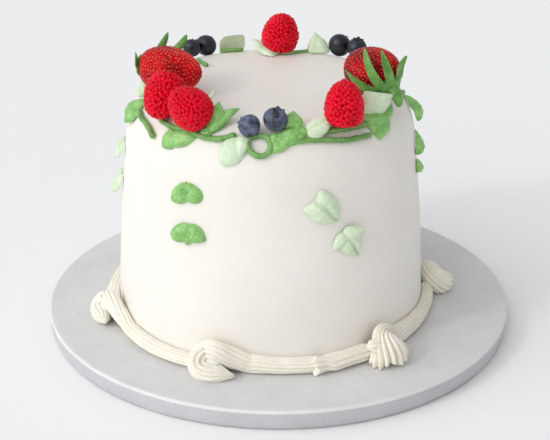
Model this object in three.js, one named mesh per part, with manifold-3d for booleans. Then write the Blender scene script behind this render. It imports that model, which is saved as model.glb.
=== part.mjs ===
// A tall round iced cake on a flat stone disc: a ring of berries, piped leaves and vines round its
// top edge, piped leaves on its wall and a star-piped border round its foot.
// Millimetres, +Z up. The origin is the middle of the disc's underside.

import * as THREE from 'three';
import { ParametricGeometry } from 'three/addons/geometries/ParametricGeometry.js';
import { mergeVertices } from 'three/addons/utils/BufferGeometryUtils.js';
import Module from 'manifold-3d';

// ---------------------------------------------------------------- driving dimensions

const GAP = 0.3; // clear space between pieces that touch
const LEAF_CLEARANCE = 0.4; // from the icing to the underside of a leaf or vine
const CUT_CLEARANCE = 0.4; // how much a piece is grown before it is cut out of its neighbour
const SHARPEST = 0.35; // limits how far a sharp corner moves when a piece is grown
const SLIVER = 0.03; // joins and cuts are smoothed to this

const PLATE = { radius: 120, thickness: 11, edgeRound: 1.4, footChamfer: 2.2, sides: 72 };

const CAKE = {
  axisX: -4.0,
  axisY: -3.3,
  topZ: 128.6,
  footRadius: 78.9,
  waistRadius: 76.8, // half way up the wall
  shoulderRadius: 72.8, // where the wall meets the rounded shoulder
  shoulderWidth: 18,
  shoulderHeight: 29.5,
  sides: 56,
};
const CAKE_FOOT = PLATE.thickness + GAP;
const FLAT_RADIUS = CAKE.shoulderRadius - CAKE.shoulderWidth;
const SHOULDER_Z = CAKE.topZ - CAKE.shoulderHeight;

const VINE_RADIUS = 1.35;

const ROSETTE = { radius: 10.4, height: 9.4, centreZ: PLATE.thickness + 6.6, flutes: 7, groove: 0.1 };
const ROPE = { ribs: 6, groove: 0.18, stepDegrees: 8 };

const COLOUR = {
  stone: { color: 0xd2d2d1, roughness: 0.75 },
  icing: { color: 0xf4f0ea, roughness: 0.6 },
  border: { color: 0xefe8d6, roughness: 0.6 },
  strawberry: { color: 0xc3141c, roughness: 0.35 },
  raspberry: { color: 0xd01634, roughness: 0.5 },
  blueberry: { color: 0x2c3444, roughness: 0.55 },
  calyx: { color: 0x5fa35a, roughness: 0.6 },
  darkLeaf: { color: 0x6fae5a, roughness: 0.55 },
  paleLeaf: { color: 0xcfe3bf, roughness: 0.55 },
  vine: { color: 0x6aa058, roughness: 0.55 },
};

// ---------------------------------------------------------------- closed surfaces

const radians = THREE.MathUtils.degToRad;
const wasm = await Module();
wasm.setup();

/** Joins equal corners, drops the triangles that shrink to a line and turns the faces outwards. */
function welded(geometry) {
  geometry.deleteAttribute('normal');
  geometry.deleteAttribute('uv');
  const merged = mergeVertices(geometry, 1e-3);
  const corners = merged.index.array;
  const kept = [];
  let volume = 0;
  const [a, b, c] = [new THREE.Vector3(), new THREE.Vector3(), new THREE.Vector3()];
  for (let i = 0; i < corners.length; i += 3) {
    const triangle = [corners[i], corners[i + 1], corners[i + 2]];
    if (new Set(triangle).size < 3) continue;
    [a, b, c].forEach((corner, k) => corner.fromBufferAttribute(merged.attributes.position, triangle[k]));
    volume += a.dot(b.cross(c));
    kept.push(...triangle);
  }
  merged.setIndex(volume < 0 ? kept.reverse() : kept);
  merged.computeVertexNormals();
  return merged;
}

/** A round body: point(turn, travel) with turn 0-1 running round it and travel 0-1 from pole to pole. */
function roundBody(point, around, along) {
  return welded(new ParametricGeometry((u, v, target) => target.copy(point(u, v)), around, along));
}

/** A profile of (radius, height) points turned about +Z. */
function turnedBody(profile, sides) {
  return welded(new THREE.LatheGeometry(profile, sides).rotateX(Math.PI / 2));
}

/** A thin body with two faces split alike: point(across -1..1, travel 0..1, face) is on face +1 or -1. */
function sheetBody(point, across, along) {
  const corners = [];
  const triangles = [];
  for (const face of [1, -1]) {
    const start = corners.length / 3;
    for (let j = 0; j <= along; j += 1) {
      for (let i = 0; i <= across; i += 1) {
        corners.push(...point((2 * i) / across - 1, j / along, face).toArray());
      }
    }
    for (let j = 0; j < along; j += 1) {
      for (let i = 0; i < across; i += 1) {
        const [near, far] = [start + j * (across + 1) + i, start + (j + 1) * (across + 1) + i];
        const pair = [near, near + 1, far + 1, near, far + 1, far];
        triangles.push(...(face > 0 ? pair : pair.reverse()));
      }
    }
  }
  const geometry = new THREE.BufferGeometry();
  geometry.setAttribute('position', new THREE.Float32BufferAttribute(corners, 3));
  geometry.setIndex(triangles);
  return welded(geometry);
}

/** A tube along a curve, with closed ends unless the curve comes back on itself. */
function tubeBody(curve, radius, sides, steps) {
  if (curve.closed) return welded(new THREE.TubeGeometry(curve, steps, radius, sides, true));
  const section = new THREE.Shape().absarc(0, 0, radius, 0, 2 * Math.PI);
  const curveSegments = sides / 2;
  return welded(new THREE.ExtrudeGeometry(section, { curveSegments, steps, extrudePath: curve }));
}

// ---------------------------------------------------------------- joining and clearing

function toSolid(geometry) {
  const vertProperties = geometry.attributes.position.array;
  const triVerts = new Uint32Array(geometry.index.array);
  return new wasm.Manifold(new wasm.Mesh({ numProp: 3, vertProperties, triVerts }));
}

/** The largest piece of a solid, with slivers smoothed away. */
function toGeometry(solid) {
  const pieces = solid.simplify(SLIVER).decompose().sort((one, two) => two.volume() - one.volume());
  const { vertProperties, triVerts } = pieces[0].getMesh();
  const geometry = new THREE.BufferGeometry();
  geometry.setAttribute('position', new THREE.BufferAttribute(vertProperties, 3));
  geometry.setIndex(new THREE.BufferAttribute(triVerts, 1));
  return geometry;
}

function joined(geometries) {
  return toGeometry(geometries.map(toSolid).reduce((whole, next) => whole.add(next)));
}

/** A copy whose faces all stand out by the amount: sharp corners move further, up to a limit. */
function grown(geometry, amount) {
  const copy = geometry.clone();
  copy.computeVertexNormals();
  const { position, normal } = copy.attributes;
  const slant = new Float32Array(position.count).fill(1);
  const [triangle, flat, mean] = [new THREE.Triangle(), new THREE.Vector3(), new THREE.Vector3()];
  for (let i = 0; i < copy.index.count; i += 3) {
    const corners = copy.index.array.slice(i, i + 3);
    triangle.setFromAttributeAndIndices(position, ...corners).getNormal(flat);
    corners.forEach((corner) => {
      slant[corner] = Math.min(slant[corner], mean.fromBufferAttribute(normal, corner).dot(flat));
    });
  }
  for (let i = 0; i < position.count; i += 1) {
    mean.fromBufferAttribute(normal, i).multiplyScalar(amount / Math.max(SHARPEST, slant[i]));
    position.setXYZ(i, position.getX(i) + mean.x, position.getY(i) + mean.y, position.getZ(i) + mean.z);
  }
  copy.computeBoundingBox();
  return copy;
}

/** The largest piece of a body left when its neighbours, each grown a little, are cut away. */
function clearOf(geometry, neighbours) {
  geometry.computeBoundingBox();
  const near = neighbours
    .map((other) => grown(other, CUT_CLEARANCE))
    .filter((other) => other.boundingBox.intersectsBox(geometry.boundingBox));
  if (near.length === 0) return geometry;
  return toGeometry(near.reduce((left, other) => left.subtract(toSolid(other)), toSolid(geometry)));
}

// ---------------------------------------------------------------- the cake's outline

// From the axis out over the flat top, round the elliptical shoulder and down the bowed wall.
const outline = new THREE.CurvePath();
outline.add(
  new THREE.LineCurve(new THREE.Vector2(0, CAKE.topZ), new THREE.Vector2(FLAT_RADIUS, CAKE.topZ)),
);
outline.add(
  new THREE.EllipseCurve(
    FLAT_RADIUS, SHOULDER_Z, CAKE.shoulderWidth, CAKE.shoulderHeight, Math.PI / 2, 0, true,
  ),
);
outline.add(
  new THREE.QuadraticBezierCurve(
    new THREE.Vector2(CAKE.shoulderRadius, SHOULDER_Z),
    new THREE.Vector2(
      2 * CAKE.waistRadius - (CAKE.shoulderRadius + CAKE.footRadius) / 2,
      (SHOULDER_Z + CAKE_FOOT) / 2,
    ),
    new THREE.Vector2(CAKE.footRadius, CAKE_FOOT),
  ),
);
const OUTLINE_LENGTH = outline.getLength();

/** Point and outward normal (radius, height) at a distance travelled over the cake from its axis. */
function outlineAt(travel) {
  const share = THREE.MathUtils.clamp(travel / OUTLINE_LENGTH, 0, 1);
  const tangent = outline.getTangent(share);
  return { point: outline.getPoint(share), normal: new THREE.Vector2(-tangent.y, tangent.x) };
}

/** A point over the icing: bearing in degrees, travel from the axis over the top, height off the icing. */
function onCake(bearing, travel, height) {
  const { point, normal } = outlineAt(travel);
  const radius = point.x + height * normal.x;
  const angle = radians(bearing);
  return new THREE.Vector3(radius * Math.cos(angle), radius * Math.sin(angle), point.y + height * normal.y);
}

const OUTLINE_SAMPLES = Array.from({ length: 90 }, (_, i) => outlineAt((OUTLINE_LENGTH * i) / 89));

/** How far a point is off the icing, below 0 inside it. The outline is convex, so its faces bound it. */
function heightOffCake(position) {
  const flat = new THREE.Vector2(Math.hypot(position.x, position.y), position.z);
  return Math.max(...OUTLINE_SAMPLES.map(({ point, normal }) => flat.clone().sub(point).dot(normal)));
}

function wallRadius(z) {
  const rise = THREE.MathUtils.clamp((z - CAKE_FOOT) / (SHOULDER_Z - CAKE_FOOT), 0, 1);
  const [foot, waist, shoulder] = [CAKE.footRadius, CAKE.waistRadius, CAKE.shoulderRadius];
  return (
    foot * (1 - rise) * (1 - 2 * rise) +
    4 * waist * rise * (1 - rise) +
    shoulder * rise * (2 * rise - 1)
  );
}

// ---------------------------------------------------------------- stone disc and cake

function plateBody() {
  const { radius, thickness, edgeRound, footChamfer, sides } = PLATE;
  const profile = new THREE.Path();
  profile.moveTo(0, 0);
  profile.lineTo(radius - footChamfer, 0);
  profile.lineTo(radius - edgeRound / 2, footChamfer);
  profile.lineTo(radius, thickness - edgeRound);
  profile.absarc(radius - edgeRound, thickness - edgeRound, edgeRound, 0, Math.PI / 2);
  profile.lineTo(0, thickness);
  return turnedBody(profile.getPoints(1), sides);
}

function cakeBody() {
  const edge = [0, ...Array.from({ length: 10 }, (_, i) => FLAT_RADIUS + cakeStep(i))];
  const profile = edge.map((travel) => outlineAt(travel).point);
  return turnedBody([...profile, new THREE.Vector2(0, CAKE_FOOT)].reverse(), CAKE.sides);
}

/** Travel past the flat top at step i of 9: seven steps round the shoulder, two down the wall. */
function cakeStep(i) {
  const shoulder = outline.curves[1].getLength();
  const wall = outline.curves[2].getLength();
  return i <= 7 ? (shoulder * i) / 7 : shoulder + (wall * (i - 7)) / 2;
}

// ---------------------------------------------------------------- piped border

/** Keeps a border point off the disc and the cake's wall, where the icing is pressed flat. */
function pressed(position) {
  position.z = Math.max(position.z, PLATE.thickness + GAP);
  const radius = Math.hypot(position.x, position.y);
  const push = Math.max(1, (wallRadius(position.z) + GAP) / radius);
  position.x *= push;
  position.y *= push;
  return position;
}

function aroundCake(bearing, radius, z) {
  return new THREE.Vector3(radius * Math.cos(radians(bearing)), radius * Math.sin(radians(bearing)), z);
}

/** A star-piped dome whose flutes wind from a peak that leans out from the cake. */
function rosetteBody({ bearing, radius, size, lean, wind }) {
  const centre = aroundCake(bearing, radius, ROSETTE.centreZ);
  const peak = new THREE.Vector3(Math.cos(radians(lean)), 0, Math.sin(radians(lean)));
  const turn = new THREE.Quaternion().setFromUnitVectors(new THREE.Vector3(0, 0, 1), peak);
  const face = new THREE.Quaternion().setFromAxisAngle(new THREE.Vector3(0, 0, 1), radians(bearing));
  return roundBody((u, v) => {
    const fall = Math.PI * v;
    const flute = Math.cos(ROSETTE.flutes * 2 * Math.PI * u + wind * fall);
    const swell = size * (1 + ROSETTE.groove * Math.sin(fall) * flute);
    const position = new THREE.Vector3(
      ROSETTE.radius * swell * Math.sin(fall) * Math.cos(2 * Math.PI * u),
      ROSETTE.radius * swell * Math.sin(fall) * Math.sin(2 * Math.PI * u),
      ROSETTE.height * swell * Math.cos(fall),
    );
    return pressed(position.applyQuaternion(turn).applyQuaternion(face).add(centre));
  }, 3 * ROSETTE.flutes, 8);
}

/** Linear reading of a table of rows whose first entry is the bearing. */
function rowAt(rows, bearing) {
  const next = Math.max(1, rows.findIndex((row) => row[0] >= bearing - 1e-9));
  const [low, high] = [rows[next - 1], rows[next]];
  const share = (bearing - low[0]) / (high[0] - low[0]);
  return low.map((value, k) => THREE.MathUtils.lerp(value, high[k], share));
}

/** A ribbed rope lying on the disc; rows are [bearing, radius to its middle, half width, half height]. */
function ropeBody(rows, flare = 0) {
  const [from, to] = [rows[0][0], rows[rows.length - 1][0]];
  const steps = Math.round((to - from) / ROPE.stepDegrees);
  return roundBody((u, v) => {
    const t = THREE.MathUtils.clamp((v * (steps + 2) - 1) / steps, 0, 1);
    const [bearing, radius, halfWidth, halfHeight] = rowAt(rows, THREE.MathUtils.lerp(from, to, t));
    const open = v === 0 || v === 1 ? 0 : 1 + flare * Math.exp(-8 * t);
    const rib = open * (1 + (ROPE.groove / 2) * (Math.cos(2 * Math.PI * ROPE.ribs * u) - 1));
    return pressed(aroundCake(
      bearing,
      radius + rib * halfWidth * Math.cos(2 * Math.PI * u),
      PLATE.thickness + GAP + halfHeight * (1 + rib * Math.sin(2 * Math.PI * u)),
    ));
  }, 2 * ROPE.ribs, steps + 2);
}

// Each stroke starts with a rosette and is drawn out into a rope that drifts off the cake as it thins.
// Rope rows: bearing round the cake's axis, radius to the middle, half width, half height.
const STROKES = [
  {
    rosette: { bearing: -163, radius: 87.6, size: 0.88, lean: 40, wind: 1.1 },
    rope: [[-163, 82.6, 3.2, 3.8], [-150, 82.6, 2.9, 3], [-135, 84.9, 2.8, 2.5], [-112, 85.3, 2.8, 2.5]],
  },
  {
    rosette: { bearing: -109, radius: 87.4, size: 1.02, lean: 34, wind: 1.5 },
    rope: [[-109, 82.4, 3.4, 5.2], [-100, 81.8, 3.1, 4.9], [-88, 82.4, 3.2, 4], [-76.4, 85.2, 3, 3.1]],
  },
  {
    rope: [[-75.6, 86.4, 3.8, 3.8], [-70, 85, 3.6, 3.7], [-61, 83.4, 3.7, 4.1], [-52.5, 83.2, 3.6, 4.2]],
    flare: 0.3,
  },
  {
    rosette: { bearing: -52.5, radius: 89.4, size: 1.05, lean: 74, wind: 0.25 },
    rope: [[-52.5, 82.6, 3.2, 5.2], [-38, 81.6, 2.9, 4.9], [-18, 81.5, 2.8, 4.4], [5, 82.6, 2.8, 3.8]],
  },
  {
    rosette: { bearing: 6, radius: 88.4, size: 0.94, lean: 50, wind: 0.5 },
    rope: [[6, 82.4, 3.2, 5], [20, 81.7, 3, 4.6], [42, 82.4, 3, 3.8], [65, 84.2, 2.9, 3]],
  },
  {
    rosette: { bearing: 66, radius: 88.2, size: 0.98, lean: 44, wind: 1.1 },
    rope: [[66, 82.4, 3.2, 5], [80, 81.7, 3, 4.6], [104, 82.6, 3, 3.7], [130, 84.4, 2.9, 3]],
  },
  {
    rosette: { bearing: 131, radius: 88, size: 0.96, lean: 40, wind: 1.1 },
    rope: [[131, 82.4, 3.2, 5], [145, 81.7, 3, 4.5], [172, 82.8, 3, 3.6], [196, 84, 2.9, 3]],
  },
];

/** Each stroke in one piece, cut back where it runs into the start of the next. */
function borderBodies() {
  const starts = STROKES.map(({ rosette, rope, flare }) =>
    rosette ? rosetteBody(rosette) : ropeBody(rope, flare),
  );
  return STROKES.map(({ rosette, rope }, i) => {
    const stroke = rosette ? joined([starts[i], ropeBody(rope)]) : starts[i];
    return clearOf(stroke, [starts[(i + 1) % starts.length]]);
  });
}

// ---------------------------------------------------------------- berries

/** Strawberry about its own axis, calyx end down at -Z and tip at +Z. */
function strawberryPoint(radius, length, turn, fall) {
  const round = 0.72 + (0.3 * fall) / Math.PI;
  const lump = 1 + 0.03 * Math.cos(3 * turn + 1) + 0.02 * Math.cos(5 * turn);
  const girth = (radius * lump * Math.sin(fall) ** round * (1 + 0.2 * Math.cos(fall))) / 1.03;
  return new THREE.Vector3(girth * Math.cos(turn), girth * Math.sin(turn), (-length / 2) * Math.cos(fall));
}

function strawberryBody({ radius, length }) {
  return roundBody((u, v) => strawberryPoint(radius, length, 2 * Math.PI * u, Math.PI * v), 16, 11);
}

const RASPBERRY_OUTLINE = new THREE.SplineCurve(
  [[0, -0.3], [0.5, -0.49], [0.86, -0.43], [1, -0.16], [0.92, 0.12], [0.64, 0.38], [0, 0.5]]
    .map(([girth, height]) => new THREE.Vector2(girth, height)),
);

/** Raspberry about its own axis, open end down, with drupelets standing out in staggered rows. */
function raspberryBody({ radius, length }) {
  const [drupelets, rows] = [9, 9];
  return roundBody((u, v) => {
    const { x: girth, y: height } = RASPBERRY_OUTLINE.getPointAt(v);
    const bump = 1 + 0.045 * Math.cos(2 * Math.PI * drupelets * u) * Math.cos(Math.PI * rows * v);
    const turn = 2 * Math.PI * u;
    const out = radius * Math.max(0, girth) * bump;
    return new THREE.Vector3(out * Math.cos(turn), out * Math.sin(turn), length * height);
  }, 2 * drupelets, rows);
}

/** Blueberry about its own axis, with a five-pointed crown round a dimple at +Z. */
function blueberryBody({ radius }) {
  return roundBody((u, v) => {
    const fall = Math.PI * v;
    const points = 0.05 * Math.sin(fall) * Math.cos(10 * Math.PI * u);
    const crown = Math.exp(-(((fall - 0.42) / 0.2) ** 2)) * (0.06 + 2 * points);
    const dimple = 0.16 * Math.exp(-((fall / 0.2) ** 2));
    const reach = radius * (1 + crown - dimple);
    return new THREE.Vector3(
      reach * Math.sin(fall) * Math.cos(2 * Math.PI * u),
      reach * Math.sin(fall) * Math.sin(2 * Math.PI * u),
      0.92 * reach * Math.cos(fall),
    );
  }, 10, 8);
}

/** Turns a berry's +Z to a heading and elevation in degrees, then sets it down on the icing. */
function setDown(geometry, { bearing, travel, heading, elevation, rise = 0 }) {
  const upright = new THREE.Object3D();
  upright.rotation.set(0, radians(90 - elevation), radians(heading), 'ZYX');
  upright.position.copy(onCake(bearing, travel, 0));
  const normal = onCake(bearing, travel, 1).sub(upright.position);
  const corner = new THREE.Vector3();
  const { position } = geometry.attributes;
  for (let pass = 0; pass < 4; pass += 1) {
    upright.updateMatrix();
    let lowest = Infinity;
    for (let i = 0; i < position.count; i += 1) {
      corner.fromBufferAttribute(position, i).applyMatrix4(upright.matrix);
      lowest = Math.min(lowest, heightOffCake(corner));
    }
    upright.position.addScaledVector(normal, GAP + rise - lowest);
  }
  upright.updateMatrix();
  return upright.matrix.clone();
}

// Each sepal is [turn and reach of its base, turn and reach of its tip, how far the tip stands off the
// berry], with reach measured over the berry from its stalk.
const STRAWBERRIES = {
  strawberry_left: {
    radius: 11.6, length: 32.6, bearing: -163.4, travel: 49.8, heading: -28, elevation: 0,
    sepals: [[148, 4, 144, 17.8, 5.4], [140, 4, 138, 22.1, 6], [-128, 3, -130, 13.6, 3.6],
      [84, 4, 76, 14, 2.5], [20, 3, 20, 9, 2]],
    stem: { length: 3.4, radius: 1.5, droop: 1 },
  },
  strawberry_right: {
    radius: 13.1, length: 28, bearing: -28.4, travel: 53.9, heading: 134, elevation: 20,
    sepals: [[96, 5, 108, 22.8, 4.3], [118, 5, 148, 22.1, 4.3], [160, 3.3, 165, 17.2, 4.3],
      [-140, 3, -158, 12.4, 4.6], [50, 4, 50, 13, 2], [-60, 4, -60, 13, 2]],
    stem: { length: 9, radius: 2.6, droop: 4 },
  },
};

const RASPBERRIES = {
  raspberry_back: { radius: 9.5, length: 19.2, bearing: 84.2, travel: 53.2, heading: 0, elevation: 80 },
  raspberry_left: { radius: 9.4, length: 22, bearing: -141.8, travel: 60.4, heading: -118, elevation: -38 },
  raspberry_front: { radius: 9.6, length: 20, bearing: -124.5, travel: 61.3, heading: -150, elevation: 46 },
  raspberry_right: { radius: 9.1, length: 21, bearing: -58.6, travel: 60, heading: 100, elevation: 82 },
};

const BLUEBERRIES = {
  blueberry_back_left: {
    radius: 4.8, bearing: 131.6, travel: 60, heading: -60, elevation: 40, rise: 0.8,
  },
  blueberry_back_left_far: { radius: 5.6, bearing: 122.2, travel: 61.6, heading: 30, elevation: 60 },
  blueberry_back_right_far: { radius: 6, bearing: 55, travel: 60.6, heading: 200, elevation: 10 },
  blueberry_back_right: {
    radius: 5.2, bearing: 44.4, travel: 60, heading: 300, elevation: 76, rise: 1.8,
  },
  blueberry_front_left: { radius: 5.3, bearing: -98.4, travel: 62.4, heading: 160, elevation: 38 },
  blueberry_front_right: { radius: 5.7, bearing: -87.8, travel: 59.4, heading: -40, elevation: 65 },
};

// ---------------------------------------------------------------- strawberry calyx

const SEPAL = { width: 4.4, thickness: 1.3 };

/** Sepals and stem of a strawberry, in the berry's own frame. */
function calyxBody({ radius, length, sepals, stem }) {
  const perRadian = (radius + length / 2) / 2;
  const over = (turn, reach, height) => {
    const skin = strawberryPoint(radius, length, turn, Math.max(0.02, reach / perRadian));
    const out = new THREE.Vector3(skin.x, skin.y, 0.9 * skin.z - 1).normalize();
    return skin.addScaledVector(out, height);
  };
  const flatPoint = (turn, reach) =>
    new THREE.Vector2(reach, 0).rotateAround(new THREE.Vector2(), radians(turn));
  const blades = sepals.map(([baseTurn, baseReach, tipTurn, tipReach, stand]) => {
    const base = flatPoint(baseTurn, baseReach);
    const tip = flatPoint(tipTurn, tipReach);
    const side = tip.clone().sub(base).normalize().rotateAround(new THREE.Vector2(), Math.PI / 2);
    return sheetBody((u, v, face) => {
      const half = (SEPAL.width / 2) * Math.sin(Math.PI * (0.22 + 0.78 * v)) ** 0.8;
      const flat = base.clone().multiplyScalar(v === 0 ? 0 : 1).lerp(tip, v).addScaledVector(side, u * half);
      const skin = (face * SEPAL.thickness * (1 - u * u) * (4 * v * (1 - v)) ** 0.3) / 2;
      return over(flat.angle(), flat.length(), GAP + SEPAL.thickness + stand * v ** 3 + skin);
    }, 2, 5);
  });
  const foot = over(0, 0, GAP);
  const path = new THREE.QuadraticBezierCurve3(
    foot.clone(),
    foot.clone().add(new THREE.Vector3(0, 0, -stem.length / 2)),
    foot.clone().add(new THREE.Vector3(stem.droop, 0, -stem.length)),
  );
  return joined([...blades, tubeBody(path, stem.radius, 8, 3)]);
}

// ---------------------------------------------------------------- piped leaves and vines

/**
 * A piped leaf on the icing. bearing and travel place its base, heading points to its tip (0 along
 * growing bearings, 90 towards the cake's axis). It leaves the icing at rise degrees and bends to curl
 * degrees at the tip, and has a crease down its middle. lobes draws its base edges back, tails draws
 * two lobes past its tip, and stub widens its base.
 */
function leafBody(leaf) {
  const {
    bearing, travel, heading, length, width, thick = 3, rise = 0, curl = rise,
    crease = 0.35, lobes = 0.18, tails = 0, widest = 0.7, blunt = 0.6, wave = 0.3, stub = 0.07,
  } = leaf;
  const [start, bend] = [radians(rise), radians(curl - rise) || 1e-6];
  const [ahead, aside] = [Math.cos(radians(heading)), Math.sin(radians(heading))];
  return sheetBody((u, v, face) => {
    const pitch = start + bend * v;
    const reach = (length * (Math.sin(pitch) - Math.sin(start))) / bend;
    const lift = (length * (Math.cos(start) - Math.cos(pitch))) / bend;
    const half = (width / 2) * Math.sin(Math.PI * (stub + (0.997 - stub) * v ** widest)) ** blunt;
    const groove = 1 - crease * Math.exp(-((u / 0.3) ** 2));
    const full = face > 0 ? thick * Math.sqrt(Math.max(0, 1 - u * u)) * Math.sin(Math.PI * v) ** 0.5 : 0;
    const spread = tails * v * v - lobes;
    const x = reach + spread * length * u * u * (1 - v) - full * groove * Math.sin(pitch);
    const y = half * u;
    const ripple = wave * Math.sin(4 * Math.PI * v) * u * u * Math.sin(Math.PI * v);
    const under = LEAF_CLEARANCE + Math.max(0, lift + ripple);
    const radius = Math.max(20, outlineAt(travel - x * aside).point.x);
    return onCake(
      bearing + THREE.MathUtils.radToDeg((x * ahead - y * aside) / radius),
      travel - x * aside - y * ahead,
      under + full * groove * Math.cos(pitch),
    );
  }, 4, 5);
}

const LEAVES = {
  leaf_left_shoulder: {
    tone: 'darkLeaf', bearing: -162.2, travel: 67.2, heading: -152, length: 19, width: 10.5, rise: 6,
  },
  leaf_left_pale: {
    tone: 'paleLeaf', bearing: -172, travel: 62.6, heading: 175, length: 9, width: 8, thick: 2, rise: 30,
  },
  leaf_spike: {
    tone: 'paleLeaf', bearing: -130, travel: 48.5, heading: 50, length: 11, width: 5, thick: 1.8, rise: 60,
  },
  leaf_front_left: {
    tone: 'darkLeaf', bearing: -128.5, travel: 68.8, heading: -76, length: 8.5, width: 19, thick: 3.6,
    tails: 1.9, blunt: 0.45,
  },
  leaf_by_blueberries: {
    tone: 'darkLeaf', bearing: -117, travel: 64.6, heading: 47, length: 17.5, width: 11, rise: 14, curl: 20,
  },
  leaf_front_pale: {
    tone: 'paleLeaf', bearing: -101.6, travel: 67, heading: -124, length: 15, width: 11.5, lobes: 0.05,
    tails: 0.4, blunt: 0.42, widest: 0.9,
  },
  leaf_front_dark: {
    tone: 'darkLeaf', bearing: -80.8, travel: 61, heading: 72, length: 8.4, width: 10, rise: 34, curl: 50,
  },
  leaf_front_tip: {
    tone: 'darkLeaf', bearing: -88.4, travel: 67.4, heading: 14, length: 19, width: 10.4, thick: 3.6,
  },
  leaf_front_right_pale: {
    tone: 'paleLeaf', bearing: -74, travel: 64.6, heading: 20, length: 12.5, width: 9.5, rise: 20, curl: 34,
  },
  leaf_right_pale: {
    tone: 'paleLeaf', bearing: -40.6, travel: 62, heading: 64, length: 16, width: 14.5, thick: 1.8, rise: 84,
    curl: 80, blunt: 0.25, tails: 0.5, lobes: 0,
  },
  leaf_right_dark: {
    tone: 'darkLeaf', bearing: -34, travel: 64.4, heading: -128, length: 14, width: 18, thick: 3.4,
    blunt: 0.5,
  },
  leaf_back_right_pale: {
    tone: 'paleLeaf', bearing: 62.5, travel: 54.4, heading: -74, length: 11.5, width: 12, thick: 2, rise: 60,
    curl: 66,
  },
  leaf_back_pale: {
    tone: 'paleLeaf', bearing: 86.4, travel: 46.6, heading: -38, length: 18.5, width: 10.5, thick: 3,
    lobes: 0.05, blunt: 0.5, rise: 2, curl: 34,
  },
  leaf_back_left_curled: {
    tone: 'paleLeaf', bearing: 110.5, travel: 58.6, heading: 90, length: 9.5, width: 14, thick: 1.8, rise: 80,
    curl: 60, blunt: 0.3, lobes: 0,
  },
  wall_leaf_left_upper: {
    tone: 'paleLeaf', bearing: -177, travel: 92, heading: -90, length: 10.5, width: 14, thick: 3.6, rise: 12,
    curl: 34,
  },
  wall_leaf_left_lower: {
    tone: 'paleLeaf', bearing: -176, travel: 109.5, heading: -92, length: 12, width: 15, thick: 3.6, rise: 12,
    curl: 40,
  },
  wall_leaf_front_left_upper: {
    tone: 'darkLeaf', bearing: -122.1, travel: 91.5, heading: -97, length: 9.5, width: 18, thick: 4,
    tails: 1.6, blunt: 0.45,
  },
  wall_leaf_front_left_lower: {
    tone: 'darkLeaf', bearing: -120.3, travel: 110.4, heading: -84, length: 9.5, width: 18, thick: 4,
    tails: 1.4, blunt: 0.45,
  },
  wall_leaf_front_right_upper: {
    tone: 'paleLeaf', bearing: -73.1, travel: 95.9, heading: -46, length: 16, width: 16, thick: 4,
    blunt: 0.5,
  },
  wall_leaf_front_right_lower: {
    tone: 'paleLeaf', bearing: -61.5, travel: 122.5, heading: 96, length: 14.5, width: 16, thick: 3.2,
    rise: 4, curl: 26, blunt: 0.5,
  },
  wall_leaf_right_upper: {
    tone: 'darkLeaf', bearing: 1, travel: 69, heading: -98, length: 14.5, width: 9, thick: 3.4, widest: 1.3,
    lobes: 0,
  },
  wall_leaf_right_middle: {
    tone: 'darkLeaf', bearing: -6.8, travel: 84, heading: -94, length: 13.5, width: 10, thick: 4, widest: 1.3,
    lobes: 0,
  },
  wall_leaf_right_lower: {
    tone: 'darkLeaf', bearing: -9, travel: 98.5, heading: -90, length: 8, width: 9, thick: 3.6, lobes: 0,
  },
  wall_leaf_back_right_upper: {
    tone: 'paleLeaf', bearing: 52, travel: 92, heading: -80, length: 13, width: 15, thick: 3.8, blunt: 0.5,
  },
  wall_leaf_back_right_lower: {
    tone: 'paleLeaf', bearing: 56, travel: 112, heading: -96, length: 13, width: 15, thick: 3.8, blunt: 0.5,
  },
  wall_leaf_back_left_upper: {
    tone: 'darkLeaf', bearing: 115, travel: 91, heading: -84, length: 9.5, width: 17.5, thick: 4,
    tails: 1.6, blunt: 0.45,
  },
  wall_leaf_back_left_lower: {
    tone: 'darkLeaf', bearing: 117, travel: 111, heading: -98, length: 9.5, width: 17.5, thick: 4,
    tails: 1.4, blunt: 0.45,
  },
};

// Each vine runs through points (bearing, travel) on the icing. One that ends where it starts is a loop.
const VINES = {
  vine_left: { run: [[-160.5, 68.5], [-155.4, 69.9], [-149.8, 70.8], [-144.9, 72.6], [-141.3, 75]] },
  vine_front_left: {
    run: [[-142.8, 65.8], [-137.6, 66.8], [-132, 67], [-124.9, 66.6], [-118.5, 67.8], [-112.5, 67.9],
      [-107.8, 66.6], [-104, 64.6]],
  },
  vine_loop: {
    run: [[-98.9, 66.6], [-95, 64.8], [-91.4, 65.4], [-89.9, 68.8], [-90.8, 72.3], [-93.4, 73.9],
      [-96.6, 72.8], [-98.6, 69.8], [-98.9, 66.6]],
  },
  vine_right_upper: { run: [[-70.6, 65], [-64.8, 64.7], [-57.8, 65], [-51.7, 65.3], [-45.5, 65.6]] },
  vine_right_lower: {
    run: [[-79.5, 67.6], [-74.1, 67.5], [-68, 68.3], [-59.5, 69.9], [-54, 70.4], [-46.5, 70.8]],
  },
  vine_right_end: { run: [[-8.5, 62.5], [-5, 64.5], [-1.2, 66]] },
  vine_back_left: { run: [[118, 57], [112, 55.6], [105, 55]], radius: 1 },
  vine_back_right: { run: [[83, 47], [78, 49], [72, 53], [68.5, 56]], radius: 0.8 },
  vine_behind_strawberry: { run: [[136.5, 52.5], [138.6, 47], [141, 41.5]], radius: 1 },
};

function vineBody({ run, radius = VINE_RADIUS }) {
  const points = run.map(([bearing, travel]) => onCake(bearing, travel, LEAF_CLEARANCE + radius));
  const closed = points[0].distanceTo(points[points.length - 1]) < GAP;
  const curve = new THREE.CatmullRomCurve3(closed ? points.slice(1) : points, closed);
  return tubeBody(curve, radius, 8, Math.max(3, Math.round(curve.getLength() / 3.2)));
}

// ---------------------------------------------------------------- the whole

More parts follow.
